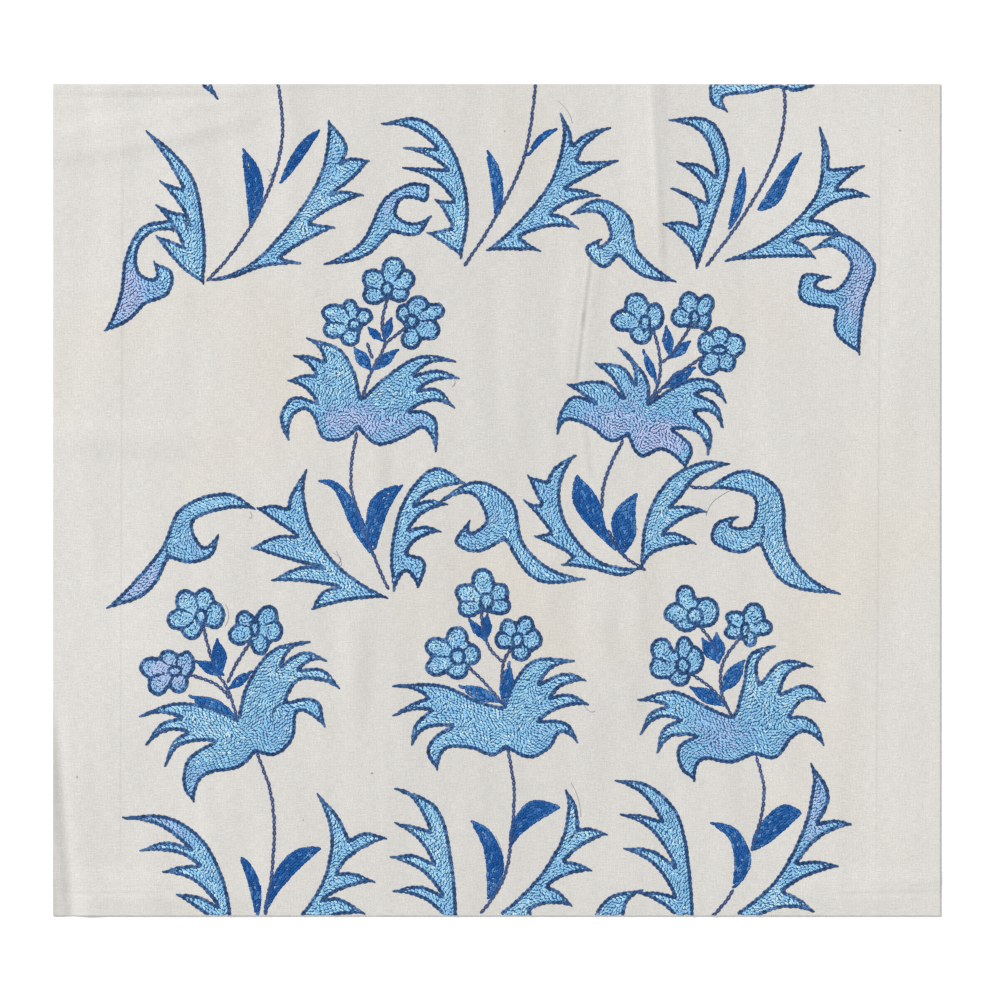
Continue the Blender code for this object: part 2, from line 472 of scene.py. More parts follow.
# %% Moving an outline inwards
def fan_out(outline, corners):
    """The outline's places with their inward directions, and a fan of them at each notch."""
    ahead = np.roll(outline, -1, axis=0) - outline
    behind = np.roll(ahead, 1, axis=0)
    normals = ahead / np.linalg.norm(ahead, axis=1)[:, None] + (
        behind / np.linalg.norm(behind, axis=1)[:, None])
    normals = np.column_stack([-normals[:, 1], normals[:, 0]])
    normals /= np.maximum(np.linalg.norm(normals, axis=1), 1e-9)[:, None]
    places, ways = [], []
    previous = 0
    for corner in corners:
        a = math.atan2(behind[corner][1], behind[corner][0])
        turn = (math.atan2(ahead[corner][1], ahead[corner][0]) - a + math.pi) % math.tau - math.pi
        places.append(outline[previous:corner])
        ways.append(normals[previous:corner])
        if turn < -0.1:
            angles = a + math.pi / 2 + turn * np.linspace(0, 1, 24)
            places.append(np.repeat(outline[corner:corner + 1], 24, axis=0))
            ways.append(np.column_stack([np.cos(angles), np.sin(angles)]))
        previous = corner + 1
    return (np.vstack(places + [outline[previous:]]), np.vstack(ways + [normals[previous:]]))


def clear_of(places, outline, gap):
    """Which places lie no nearer to the outline than the gap."""
    nearest = np.full(len(places), 1e9)
    for part in range(0, len(outline), 400):
        away = places[:, None, :] - outline[None, part:part + 400:2, :]
        nearest = np.minimum(nearest, np.min(np.sum(away**2, axis=2), axis=1))
    return nearest >= (gap - 0.12) ** 2


def runs(places, kept):
    """The unbroken stretches of kept places, also across the start of the outline."""
    if kept.all():
        return [np.vstack([places, places[:1]])]
    first = int(np.argmin(kept))
    order = np.roll(np.arange(len(places)), -first)
    found, current = [], []
    for index in order:
        if kept[index] and (not current or np.hypot(*(places[index] - current[-1])) < 4.0):
            current.append(places[index])
            continue
        if len(current) > 2:
            found.append(np.array(current))
        current = [places[index]] if kept[index] else []
    if len(current) > 2:
        found.append(np.array(current))
    return found


def rows_inside(outline, corners, first, pitch):
    """Rows from the first gap inwards, then one in each middle too narrow for two."""
    places, ways = fan_out(outline, corners)
    rows, gap = [], first
    kept = clear_of(places + gap * ways, outline, gap)
    narrow = clear_of(places + (first - 1.6) * ways, outline, first - 1.6) & ~kept
    late = runs(places + (first - 1.6) * ways, narrow) if narrow.any() else []
    while kept.any():
        rows += runs(places + gap * ways, kept)
        following = clear_of(places + (gap + pitch) * ways, outline, gap + pitch)
        half = gap + 0.5 * pitch
        between = clear_of(places + half * ways, outline, half) & ~following
        if between.any():
            late += runs(places + half * ways, between)
        gap += pitch
        kept = following
    return rows + late


sample_rows = rows_inside(sample, sample_corners, 5.0, 3.0)
print("rows in the first leaf:", len(sample_rows))

# %% [markdown]
# ## From rows to stitches
# A row is cut into stitches of equal length. Each one is kept as its middle, direction, length
# and width, all on the squared paper. No two hand stitches are the same, so every mark is moved
# a little by a random number from a fixed start: the same cloth comes out each time. Filling
# stitches also note the places they take, so that no two lie nearer than 1.7 squares.

# %% Counting off stitches
chance = np.random.default_rng(11)
CELL, NEAREST = 1.2, 1.7


def cell_of(place):
    """The small square of the paper that a place lies in, to look up its neighbours."""
    return int(place[0] // CELL), int(place[1] // CELL)


def stitches_along(line, length, width, taken=None, thin_ends=(False, False), free=1.0):
    """Stitches one behind the other on a line: x, y, direction, length and width. The more
    free the hand, the less even they are."""
    line = np.asarray(line, float)
    along = np.append(0, np.cumsum(np.linalg.norm(np.diff(line, axis=0), axis=1)))
    if along[-1] < 0.3 * length:
        return []
    count = max(1, round(along[-1] / length))
    marks = np.linspace(0, along[-1], count + 1)
    marks[1:-1] += chance.uniform(-0.1, 0.1, count - 1) * length
    ends = np.column_stack([np.interp(marks, along, line[:, k]) for k in (0, 1)])
    if taken is not None and chance.random() < 0.5:
        ends, marks = ends[::-1], marks[::-1]
    found = []
    for start, end, mark in zip(ends, ends[1:], marks):
        middle = (start + end) / 2
        span = np.hypot(*(end - start))
        if span < 0.25 * length or not inside_cloth(middle):
            continue
        if taken is not None:
            cell = cell_of(middle)
            near = [(cell[0] + i, cell[1] + j) for i in (-1, 0, 1) for j in (-1, 0, 1)]
            if any(np.hypot(*(taken[c] - middle)) < NEAREST for c in near if c in taken):
                continue
            taken[cell] = middle
        thin = 1.0
        for thin_end, from_end in zip(thin_ends, (mark, along[-1] - mark - span)):
            if thin_end:
                thin = min(thin, 0.45 + 0.55 * (from_end + span / 2) / 9.0)
        wide = width * thin * chance.uniform(1 - 0.06 * free, 1 + 0.06 * free)
        angle = math.atan2(end[1] - start[1], end[0] - start[0]) + chance.normal(0, 0.09 * free)
        shift = chance.normal(0, 0.17 * free, 2)
        found.append((middle[0] + shift[0], middle[1] + shift[1], angle, span, wide))
    return found


def inside_cloth(place):
    return LEFT + 1 < place[0] < RIGHT - 1 and TOP + 1 < place[1] < BOTTOM - 1


print("stitches on the first stem:", len(stitches_along(smooth_line(STEMS["top left"][0]), 6, 4)))

# %% [markdown]
# ## Each kind of motif in stitches
# The outline row is drawn in by 1.3 squares, and comes back to the drawn line at each corner, so
# that two rows meet there in a sharp dark tip. At a tip the row runs on a little past the
# corner, as a tail. The filling starts inside it, in rows 2.5 squares apart, sewn more freely,
# and last come short stitches wherever the cloth would still show. A dark leaf is filled right
# up to its edge, with a steadier hand, and a small one gets a row down its middle.

# %% Outlined and filled shapes
OUTLINE_STITCH = (5.2, 4.15)
FILLING_STITCH = (3.8, 2.2)
ROW_PITCH = 2.5
DARK_ROWS = {"first": 1.3, "pitch": 2.4, "stitch": (4.4, 2.5), "free": 0.9}
FREE_HAND = 1.2
# A stitch hides the cloth this far, as shares of its length and width. Gaps are looked for on a
# fine grid that keeps off the outline, and an outline stitch hides less than its whole width.
HIDES_ALONG, HIDES_ACROSS, EDGING_HIDES = 0.80, 0.70, 0.72
GAP_GRID, GAP_FROM_EDGE = 1.1, 1.6


def is_tip(outline, corner):
    """Whether the outline turns sharply outwards at a corner."""
    before = outline[corner] - outline[corner - 3]
    after = outline[(corner + 3) % len(outline)] - outline[corner]
    turn = math.atan2(before[0] * after[1] - before[1] * after[0], np.dot(before, after))
    return turn > 1.2


def outline_stitches(outline, corners, inset=1.3, at_corners=0.0):
    found = []
    places, ways = outline, np.gradient(np.vstack([outline, outline[:1]]), axis=0)[:-1]
    ways = np.column_stack([-ways[:, 1], ways[:, 0]])
    ways /= np.linalg.norm(ways, axis=1)[:, None]
    stops = list(corners) + [corners[0] + len(outline)]
    for start, stop in zip(stops, stops[1:]):
        picked = np.arange(start, stop + 1) % len(outline)
        from_end = np.minimum(np.arange(len(picked)), np.arange(len(picked))[::-1]) * STEP
        draw_in = inset * np.clip(from_end / 7.0, at_corners, 1)
        edge = places[picked] + draw_in[:, None] * ways[picked]
        tips = is_tip(outline, start % len(outline)), is_tip(outline, stop % len(outline))
        if tips[1]:
            way = (edge[-1] - edge[-3]) / np.hypot(*(edge[-1] - edge[-3]))
            edge = np.vstack([edge, edge[-1] + way * chance.uniform(0.5, 2.5)])
        found += stitches_along(edge, *OUTLINE_STITCH, thin_ends=tips)
    return found


def within(places, outline):
    """Which places lie inside the outline: a level line from there crosses it an odd number
    of times."""
    following = np.roll(outline, -1, axis=0)
    x, y = places[:, :1], places[:, 1:]
    spans = (outline[:, 1] > y) != (following[:, 1] > y)
    rise = np.where(following[:, 1] == outline[:, 1], 1e-9, following[:, 1] - outline[:, 1])
    crossing = outline[:, 0] + (y - outline[:, 1]) / rise * (following[:, 0] - outline[:, 0])
    return np.sum(spans & (x < crossing), axis=1) % 2 == 1


def gap_stitches(found, edging, outline, stitch):
    """Short stitches wherever the cloth would still show between the rows and the edging."""
    found = found + [(*row[:4], EDGING_HIDES * row[4]) for row in edging]
    low, high = outline.min(axis=0), outline.max(axis=0)
    grid = np.meshgrid(*[np.arange(low[k], high[k], GAP_GRID) for k in (0, 1)])
    bare = np.column_stack([grid[0].ravel(), grid[1].ravel()])
    bare = bare[within(bare, outline[::3])]
    bare = bare[clear_of(bare, outline, GAP_FROM_EDGE)]

    def covered(places, stitches):
        away = places[:, None, :] - stitches[None, :, :2]
        cos, sin = np.cos(stitches[:, 2]), np.sin(stitches[:, 2])
        along = (away[..., 0] * cos + away[..., 1] * sin) / (HIDES_ALONG * stitches[:, 3])
        across = (away[..., 1] * cos - away[..., 0] * sin) / (HIDES_ACROSS * stitches[:, 4])
        return (along**2 + across**2).min(axis=1) < 1

    if found:
        bare = bare[~covered(bare, np.array(found))]
    extra = []
    while len(bare):
        place = bare[len(bare) // 2]
        angle = chance.uniform(0, math.pi)
        if found:
            placed = np.array(found)
            angle = placed[np.argmin(np.hypot(*(placed[:, :2] - place).T)), 2]
        new = (place[0], place[1], angle, 0.8 * stitch[0], 0.95 * stitch[1])
        bare = bare[~covered(bare, np.array([new]))]
        if inside_cloth(place):
            extra.append(new)
    return extra


def filling_stitches(outline, corners, edging=(), first=3.9, pitch=ROW_PITCH,
                     stitch=FILLING_STITCH, free=FREE_HAND, middle=None):
    found, taken = [], {}
    rows = rows_inside(outline, corners, first, pitch)
    for row in rows + ([] if middle is None else [middle]):
        found += stitches_along(row, *stitch, taken=taken, free=free)
    return found + gap_stitches(found, edging, outline, stitch)


def keep_clear(stitches, taken):
    """Mark the places along a row as taken."""
    for x, y, angle, span, _ in stitches:
        for share in (-0.5, -0.25, 0.0, 0.25):
            place = np.array([x + share * span * math.cos(angle),
                              y + share * span * math.sin(angle)])
            taken[cell_of(place)] = place


sample_fill = filling_stitches(sample, sample_corners)
print("the first leaf has", len(outline_stitches(sample, sample_corners)), "outline and",
      len(sample_fill), "filling stitches")

# %% [markdown]
# A small dark leaf is drawn from its tip, base and width. A flower's edge is the outer edge of
# its overlapping petals: in each direction from the middle, the farthest petal counts, and
# where that changes from one petal to the next there is a notch. From each notch a dark row
# runs a little way in between the petals. Each petal is worked round and round its own middle,
# up to the petals before it. The small ring is sewn first, and the filling keeps clear of it.

# %% Small leaves and flowers
RING_STITCH, NOTCH_STITCH, PETAL_STITCH = (4.4, 4.2), (4.4, 3.5), (3.6, 2.0)
PETAL_ROWS = {"first": 4.8, "pitch": 2.7}


def leaf_between(tip, base, width):
    tip, base = np.array(tip, float), np.array(base, float)
    side = np.array([-(base - tip)[1], (base - tip)[0]]) / np.hypot(*(base - tip))
    belly = tip + 0.52 * (base - tip)
    edges = ((tuple(tip), tuple(belly + side * width / 2)),
             (tuple(base), tuple(belly - side * width / 2)))
    return closed_outline(edges)


def flower_outline(petals, ring):
    """The outer edge of oval petals, the round heart between them and the ring. Each oval is
    given by its middle, half width and half height."""
    middle = np.mean([petal[:2] for petal in petals], axis=0)
    around_ring = (*ring[:2], ring[2] + 3.0, ring[3] + 3.0)
    angles = np.linspace(0, math.tau, 241)[:-1]
    rays = np.column_stack([np.cos(angles), np.sin(angles)])
    reaches = []
    for x, y, half_width, half_height in (*petals, (*middle, 9, 9), around_ring):
        start = (middle - (x, y)) / (half_width, half_height)
        way = rays / (half_width, half_height)
        a, b, c = np.sum(way**2, axis=1), way @ start, start @ start - 1
        root = b**2 - a * c
        reaches.append(np.where(root > 0, (-b + np.sqrt(np.maximum(root, 0))) / a, 0))
    farthest = np.argmax(reaches, axis=0)
    edge = middle + rays * np.max(reaches, axis=0)[:, None]
    notches = np.flatnonzero(farthest != np.roll(farthest, 1))
    notches = notches[np.diff(np.append(notches, notches[0] + len(edge))) > 9]
    edges = []
    for notch, following in zip(notches, np.append(notches[1:], notches[0] + len(edge))):
        picked = np.arange(notch, following - 3, 7) % len(edge)
        edges.append(tuple(map(tuple, edge[picked])))
    return closed_outline(tuple(edges))


def flower_stitches(flower):
    """A flower's outline with its small ring, and its filling."""
    outline, corners = flower_outline(flower[:-1], flower[-1])
    x, y, half_width, half_height = flower[-1]
    turn = np.linspace(0, math.tau, 49)
    ring_line = np.column_stack([x + half_width * np.cos(turn), y + half_height * np.sin(turn)])
    ring = stitches_along(ring_line, *RING_STITCH)
    dark = outline_stitches(outline, corners, inset=1.9, at_corners=1.0)
    for notch in outline[corners]:
        way = np.array([x, y]) - notch
        row = smooth_line((notch + 0.05 * way, notch + 0.30 * way, notch + 0.60 * way))
        dark += stitches_along(row, *NOTCH_STITCH, thin_ends=(False, True))
    pale, taken = [], {}
    keep_clear(ring + dark, taken)
    for number, (x, y, half_width, half_height) in enumerate(flower[:-1]):
        innermost = min(half_width, half_height) - 0.6
        for inward in np.arange(PETAL_ROWS["first"], innermost, PETAL_ROWS["pitch"]):
            row = np.column_stack([x + (half_width - inward) * np.cos(turn),
                                   y + (half_height - inward) * np.sin(turn)])
            kept = clear_of(row, outline, 4.3)
            for other_x, other_y, other_width, other_height in flower[:number]:
                kept &= np.hypot((row[:, 0] - other_x) / (other_width - 3.4),
                                 (row[:, 1] - other_y) / (other_height - 3.4)) > 1
            for part in runs(row, kept) if kept.any() else ():
                pale += stitches_along(part, *PETAL_STITCH, taken=taken, free=FREE_HAND)
    pale += gap_stitches(pale, [*dark, *ring], outline, FILLING_STITCH)
    return dark + ring, pale


print("a flower has", [len(kind) for kind in flower_stitches(FLOWERS["middle left"][0])],
      "outline and filling stitches")

# %% [markdown]
# Now every motif of every spray is worked, and the stitches are sorted by spray and by thread.

# %% Working the sprays
SPRAYS = list(LEAVES)
work = {spray: {"outline": [], "filling": [], "dark_leaf": [], "stem": []} for spray in SPRAYS}
for spray in SPRAYS:
    shapes = list(LEAVES[spray]) + list(SCROLLS.get(spray, ()))
    if spray in HEADS:
        shapes.append(HEADS[spray])
    for shape in shapes:
        drawn = closed_outline(shape)
        edging = outline_stitches(*drawn)
        work[spray]["outline"] += edging
        work[spray]["filling"] += filling_stitches(*drawn, edging)
    for flower in FLOWERS.get(spray, ()):
        dark, pale = flower_stitches(flower)
        work[spray]["outline"] += dark
        work[spray]["filling"] += pale
    for shape in DARK_LEAVES[spray]:
        work[spray]["dark_leaf"] += filling_stitches(*closed_outline(shape), **DARK_ROWS)
    for small in SMALL_LEAVES.get(spray, ()):
        work[spray]["dark_leaf"] += filling_stitches(
            *leaf_between(*small), **DARK_ROWS, middle=smooth_line(small[:2]))
    for places in NOTCH_ROWS.get(spray, ()):
        work[spray]["outline"] += stitches_along(smooth_line(places), 5.2, 3.6)
    for places in STEMS[spray]:
        work[spray]["stem"] += stitches_along(smooth_line(places), 5.6, 4.0)
for spray in SPRAYS:
    print(spray, {kind: len(stitches) for kind, stitches in work[spray].items()})
print("all stitches:", sum(len(s) for kinds in work.values() for s in kinds.values()))

# %% [markdown]
# ## The ground cloth
# The cloth lies on the surface and lifts off it only along a few soft creases. Each crease is a
# low ridge on a straight or slightly bowed line: places in millimetres from the middle of the
# cloth, how far it bows, how high it rises and how far it reaches to either side. They are the
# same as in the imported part, so the cloth lies in the same folds.

# %% The creases
MM = 0.001
END_SHARE = 0.3
CORNER_FLAT, CORNER_EASE = 0.006, 0.020
RIDGES = (
    ("tall fold, upper right", (69.0, 225.0), (72.5, 88.0), 1.5, 1.10, 15.0),
    ("pucker beside the right flower", (42.0, 118.0), (35.0, 42.0), -1.5, 0.70, 11.0),
    ("sweep across the upper left corner", (-232.0, 158.0), (-88.0, 186.0), -5.0, 0.90, 14.0),
    ("fold along the top left edge", (-236.0, 184.0), (-92.0, 183.0), 0.5, 0.55, 11.0),
    ("level crease at the left", (-226.0, 30.0), (-122.0, 26.5), 0.0, 0.55, 12.0),
    ("slanting crease at the lower left", (-203.0, -92.0), (-186.0, -222.0), -2.0, 1.00, 13.0),
    ("lower left fold", (-235.0, -174.0), (-84.0, -178.0), -1.0, 0.70, 12.0),
    ("lower right fold", (112.0, -178.5), (235.0, -176.0), 1.0, 0.60, 12.0),
    ("pucker above the middle leaf", (-95.0, 205.0), (-92.0, 146.0), 1.0, 0.60, 11.0),
    ("pucker under the left flower", (-57.0, 30.0), (-54.0, -34.0), 1.5, 0.65, 11.0),
    ("pucker in the lower middle", (40.0, -38.0), (66.0, -106.0), -2.0, 0.60, 12.0),
    ("pucker below the left leaf", (-65.0, -42.0), (-69.0, -104.0), 1.5, 0.55, 11.0),
)
# Pressed lines and small puckers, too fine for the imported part. They lie in the top face only.
FINE_RIDGES = (
    ("crest of the tall fold", (69.5, 236.0), (73.0, 90.0), 1.5, 0.34, 4.5),
    ("dip beside the tall fold", (75.0, 240.0), (77.5, 80.0), 1.0, -0.30, 6.5),
    ("dip in the pucker", (41.5, 116.0), (36.0, 44.0), -1.4, -0.20, 4.5),
    ("its light side", (46.5, 118.0), (43.5, 44.0), -1.2, 0.26, 7.0),
    ("dip under the top left fold", (-212.0, 182.0), (-90.0, 182.5), 0.3, -0.26, 4.5),
    ("dip over the sweep", (-222.0, 158.5), (-90.0, 186.0), -4.5, -0.30, 6.0),
    ("crest of the sweep", (-222.0, 152.0), (-90.0, 178.0), -4.5, 0.16, 5.0),
    ("dip of the lower left crease", (-199.5, -84.0), (-187.5, -212.0), -1.5, -0.60, 7.0),
    ("light side of the lower left crease", (-188.0, -96.0), (-178.5, -216.0), -1.5, 0.35, 6.5),
    ("pucker by the first stem", (-96.5, 205.0), (-93.0, 118.0), 1.0, 0.26, 6.0),
    ("pucker by the middle stem", (8.0, 112.0), (9.0, 8.0), 1.5, 0.24, 8.0),
    ("wide pucker in the middle", (-6.0, 118.0), (-2.0, 10.0), 1.5, -0.22, 10.0),
    ("pucker under the middle head", (0.0, -105.0), (14.0, -150.0), 1.0, 0.22, 7.0),
    ("pucker at the lower left head", (-134.0, -116.0), (-126.0, -176.0), 1.0, 0.30, 6.0),
    ("pucker by the lower left stem", (-118.0, -118.0), (-110.0, -172.0), 1.0, -0.26, 6.0),
    ("pucker at the lower right head", (101.0, -116.0), (110.0, -162.0), -1.0, 0.26, 7.0),
    ("pucker by the lower right stem", (79.0, -118.0), (83.0, -160.0), -1.0, -0.24, 6.0),
    ("pucker right of the lower flowers", (131.0, -58.0), (140.0, -108.0), 1.0, 0.20, 6.0),
    ("pucker left of the middle head", (28.0, 46.0), (30.0, -4.0), 1.0, -0.24, 5.5),
    ("pucker under the right flower", (53.0, 28.0), (44.0, -6.0), 1.0, 0.28, 6.0),
    ("pucker under the left head", (-47.0, 32.0), (-49.0, 2.0), 0.5, -0.24, 6.0),
    ("pucker in the lower left", (-66.0, -44.0), (-62.0, -120.0), 1.0, 0.20, 8.0),
    ("pucker right of the lower left flowers", (-40.0, -52.0), (-36.0, -112.0), 1.0, -0.20, 9.0),
    ("pucker in the lower middle", (62.0, -40.0), (58.0, -104.0), 1.0, 0.24, 9.0),
    ("pucker in the upper middle", (-8.0, 200.0), (-10.0, 150.0), 1.0, -0.24, 8.0),
    ("line under the right scroll", (118.0, 30.0), (196.0, 26.0), 1.0, 0.14, 7.0),
    ("level line at the left", (-204.0, 96.0), (-120.0, 92.0), 1.0, 0.16, 7.0),
    ("second level line at the left", (-204.0, 142.0), (-140.0, 141.0), 1.0, -0.14, 6.0),
    ("lower level line at the left", (-204.0, -40.0), (-130.0, -44.0), 1.0, 0.14, 7.0),
    ("line in the lower left fold", (-212.0, -176.0), (-100.0, -177.0), 0.5, -0.24, 4.5),
    ("line in the lower right fold", (128.0, -177.0), (212.0, -176.0), 0.5, -0.22, 4.5),
)


def ease(share):
    """From 0 to 1 with a level start and end."""
    share = np.clip(share, 0.0, 1.0)
    return share * share * (3.0 - 2.0 * share)


def ridge_height(x, y, ridge):
    """How far one crease lifts the cloth at each point, in metres."""
    _, start, end, bow, rise, half_width = ridge
    start, run = np.array(start) * MM, (np.array(end) - start) * MM
    length = math.hypot(*run)
    along = ((x - start[0]) * run[0] + (y - start[1]) * run[1]) / length**2
    across = ((y - start[1]) * run[0] - (x - start[0]) * run[1]) / length
    across = across - bow * MM * 4.0 * along * (1.0 - along)
    reach = np.clip(np.abs(across) / (half_width * MM), 0.0, 1.0)
    crest = 0.5 * (1.0 + np.cos(np.pi * reach))
    return rise * MM * crest * ease(np.minimum(along, 1.0 - along) / END_SHARE)


def underside_height(x, y):
    corner = np.hypot(WIDTH / 2 - np.abs(x), DEPTH / 2 - np.abs(y))
    lift = sum(ridge_height(x, y, ridge) for ridge in RIDGES)
    return lift * ease((corner - CORNER_FLAT) / CORNER_EASE)


def top_height(x, y):
    fine = sum(ridge_height(x, y, ridge) for ridge in FINE_RIDGES)
    return underside_height(x, y) + CLOTH + fine


CLOTH = 0.9 * MM
print("highest crease:", round(max(ridge[4] for ridge in RIDGES), 2), "mm")

# %% [markdown]
# The cloth itself starts as a grid of 2 mm cells, fine enough for the creases to look soft. It
# is scaled to size in edit mode, its points are lifted, and the Solidify modifier gives it its
# thickness upwards, so that the underside stays on the surface. The modifier is applied, and
# then only the points of the top face take the fine lines.

# %% The ground cloth
def new_piece(name, collection):
    """Name the object just made, and put it in a collection."""
    piece = bpy.context.active_object
    piece.name = piece.data.name = name
    for old in list(piece.users_collection):
        old.objects.unlink(piece)
    collection.objects.link(piece)
    return piece


textile = bpy.data.collections.new("embroidered textile")
bpy.context.scene.collection.children.link(textile)
bpy.ops.object.select_all(action="DESELECT")
bpy.ops.mesh.primitive_grid_add(x_subdivisions=200, y_subdivisions=188, size=1.0)
cloth = new_piece("cotton_cloth", textile)
bpy.ops.object.mode_set(mode="EDIT")
bpy.ops.mesh.select_all(action="SELECT")
bpy.ops.transform.resize(value=(WIDTH, DEPTH, 1.0), center_override=(0, 0, 0))
bpy.ops.object.mode_set(mode="OBJECT")


def points_of(mesh):
    flat = np.empty(len(mesh.vertices) * 3)
    mesh.vertices.foreach_get("co", flat)
    return flat.reshape(-1, 3)


def set_points(mesh, points):
    mesh.vertices.foreach_set("co", np.asarray(points, np.float32).ravel())
    mesh.update()


points = points_of(cloth.data)
points[:, 2] = underside_height(points[:, 0], points[:, 1])
set_points(cloth.data, points)
thickness = cloth.modifiers.new("cloth thickness", "SOLIDIFY")
thickness.thickness = CLOTH
thickness.offset = 1.0
bpy.ops.object.modifier_apply(modifier=thickness.name)

points = points_of(cloth.data)
x, y = np.clip(points[:, 0], -WIDTH / 2, WIDTH / 2), np.clip(points[:, 1], -DEPTH / 2, DEPTH / 2)
upper = points[:, 2] > underside_height(x, y) + CLOTH / 2
points = np.column_stack([x, y, np.where(upper, top_height(x, y), underside_height(x, y))])
set_points(cloth.data, points)
bpy.ops.object.shade_smooth_by_angle(angle=math.radians(40))
print("cloth:", len(cloth.data.polygons), "faces,", int(upper.sum()), "points on top")

# %% [markdown]
# ## One chain link
# A chain stitch is a small loop of thread that starts inside the loop before it. It is made
# once from a ring: the ring's lower half is deleted, because it lies in the cloth, and its
# start is pinched to a point, like a drop. The link is one unit long and one wide, so that a
# stitch's own length and width can be multiplied in later. All but the open link of the stems
# also get a flat plate beneath, for the thread that runs on below the loop and closes the gaps.
# The material colours the plate dark blue: partly that thread, partly painted shade between
# the stitches.
# Thousands of filling links are needed, so they have the fewest sides.

# %% One chain link
def pick_points(mesh, wanted):
    """Enter edit mode with only the wanted points picked."""
    bpy.ops.object.mode_set(mode="EDIT")
    bpy.ops.mesh.select_all(action="DESELECT")
    bpy.ops.object.mode_set(mode="OBJECT")
    for vertex in mesh.vertices:
        vertex.select = wanted(vertex.co)
    bpy.ops.object.mode_set(mode="EDIT")


def chain_link(name, sides, thread, pinch, plate):
    """A link of a thread of the given radius, pinched at its start, on a round plate. It has
    so many sides around the loop and around the thread."""
    bpy.ops.object.select_all(action="DESELECT")
    bpy.ops.mesh.primitive_torus_add(major_segments=sides[0], minor_segments=sides[1],
                                     major_radius=0.5 - thread, minor_radius=thread,
                                     generate_uvs=True)
    link = bpy.context.active_object
    link.name = link.data.name = name
    mesh = link.data
    pick_points(mesh, lambda place: place.z < -0.01)
    bpy.ops.mesh.delete(type="VERT")
    bpy.ops.object.mode_set(mode="OBJECT")
    pick_points(mesh, lambda place: place.x < -0.2)
    bpy.ops.transform.resize(value=(1.0, pinch, 1.0), center_override=(0, 0, 0))
    bpy.ops.object.mode_set(mode="OBJECT")
    if plate:
        bpy.ops.mesh.primitive_circle_add(vertices=6, radius=plate, fill_type="NGON",
                                          location=(0, 0, 0))
        bpy.ops.object.transform_apply(location=True, rotation=True, scale=True)
        under = bpy.context.active_object
        under.data.transform(Matrix.Translation((0, 0, -0.01)))
        layer = under.data.uv_layers.new(name=mesh.uv_layers[0].name)
        for corner in layer.data:
            corner.uv = (0.5, 0.0)
        link.select_set(True)
        bpy.context.view_layer.objects.active = link
        bpy.ops.object.join()
    return link


filling_link = chain_link("filling link", (7, 4), 0.205, 0.55, 1.00)
leaf_link = chain_link("dark leaf link", (7, 4), 0.200, 0.60, 0.72)
outline_link = chain_link("outline link", (8, 6), 0.18, 0.80, 0.56)
stem_link = chain_link("open link", (8, 6), 0.20, 0.70, 0.0)
LINKS = (filling_link, leaf_link, outline_link, stem_link)
print("faces of the links:", [len(link.data.polygons) for link in LINKS])

# %% [markdown]
# ## Thousands of links
# Each thread of each spray becomes one joined mesh. The link's points are read once and placed
# for all stitches together: scaled, turned, moved to the stitch's place, and set on the cloth's
# top face. Three facts go along with each point, for the material: how light the thread is
# there, how low the point lies in the stitch, which sets its painted shade, and the way along
# the thread.

# %% Placing the links
def read_link(link):
    mesh = link.data
    faces = [tuple(face.vertices) for face in mesh.polygons]
    uv = np.empty(len(mesh.loops) * 2)
    mesh.uv_layers[0].data.foreach_get("uv", uv)
    return points_of(mesh), faces, uv.reshape(-1, 2)


def squeeze(places, half):
    """Presses whatever would stand past the cloth's cut edge into a narrow strip inside it."""
    over = np.abs(places) - (half - 0.25 * MM)
    return np.where(over > 0, np.sign(places) * (half - 0.25 * MM + 0.1 * over), places)


def place_links(name, link, stitches, tones, loop_height, overlap, slimmest, lean):
    """A joined mesh of one link for every stitch. Each is longer than its span by the overlap,
    slimmer than the stitch's width by up to the share slimmest, and leans across its row."""
    shape, faces, uv = read_link(link)
    top = shape[:, 2].max()
    stitches, tones = np.array(stitches), np.array(tones)
    count, size = len(stitches), len(shape)
    centre = at(stitches[:, :2])
    angle = -stitches[:, 2] - lean
    length = stitches[:, 3] * SQUARE * overlap
    width = stitches[:, 4] * SQUARE
    local_x = shape[None, :, 0] * length[:, None]
    local_y = shape[None, :, 1] * width[:, None]
    rise = loop_height * (1.0 + 0.12 * chance.standard_normal(count))
    tilt = 0.10 * MM + 0.05 * MM * chance.standard_normal(count)
    slim = 1.0 - (slimmest * chance.random(count))[:, None] * (shape[None, :, 2] > -0.005)
    local_y = local_y * slim
    x = centre[:, :1] + local_x * np.cos(angle)[:, None] - local_y * np.sin(angle)[:, None]
    y = centre[:, 1:] + local_x * np.sin(angle)[:, None] + local_y * np.cos(angle)[:, None]
    x, y = squeeze(x, WIDTH / 2), squeeze(y, DEPTH / 2)
    loop = shape[None, :, 2] / top * rise[:, None]
    loop += np.abs(tilt)[:, None] * (shape[None, :, 0] + 0.5) + 0.05 * MM
    under = (0.015 + 0.03 * chance.random(count)[:, None]) * MM
    z = top_height(x, y) + np.where(shape[None, :, 2] < -0.005, under, loop)
    mesh = bpy.data.meshes.new(name)
    offsets = np.arange(count) * size
    mesh.from_pydata(np.dstack([x, y, z]).reshape(-1, 3), [],
                     [tuple(v + start for v in face) for start in offsets.tolist()
                      for face in faces])
    add_maps(mesh, count, uv)
    tone = mesh.attributes.new("tone", "FLOAT", "POINT")
    tone.data.foreach_set("value", np.repeat(tones, size).astype(np.float32))
    depth = mesh.attributes.new("depth", "FLOAT", "POINT")
    # Painted shade: this level is 0 on the plate, 0.6 at the foot of the loop and 1 on its top;
    # the material darkens low points towards a dark blue.
    level = np.where(shape[:, 2] < -0.005, 0.0, 0.6 + 0.4 * shape[:, 2] / top)
    depth.data.foreach_set("value", np.tile(level, count).astype(np.float32))
    piece = bpy.data.objects.new(name, mesh)
    textile.objects.link(piece)
    bpy.ops.object.select_all(action="DESELECT")
    piece.select_set(True)
    bpy.context.view_layer.objects.active = piece
    bpy.ops.object.shade_smooth()
    return piece


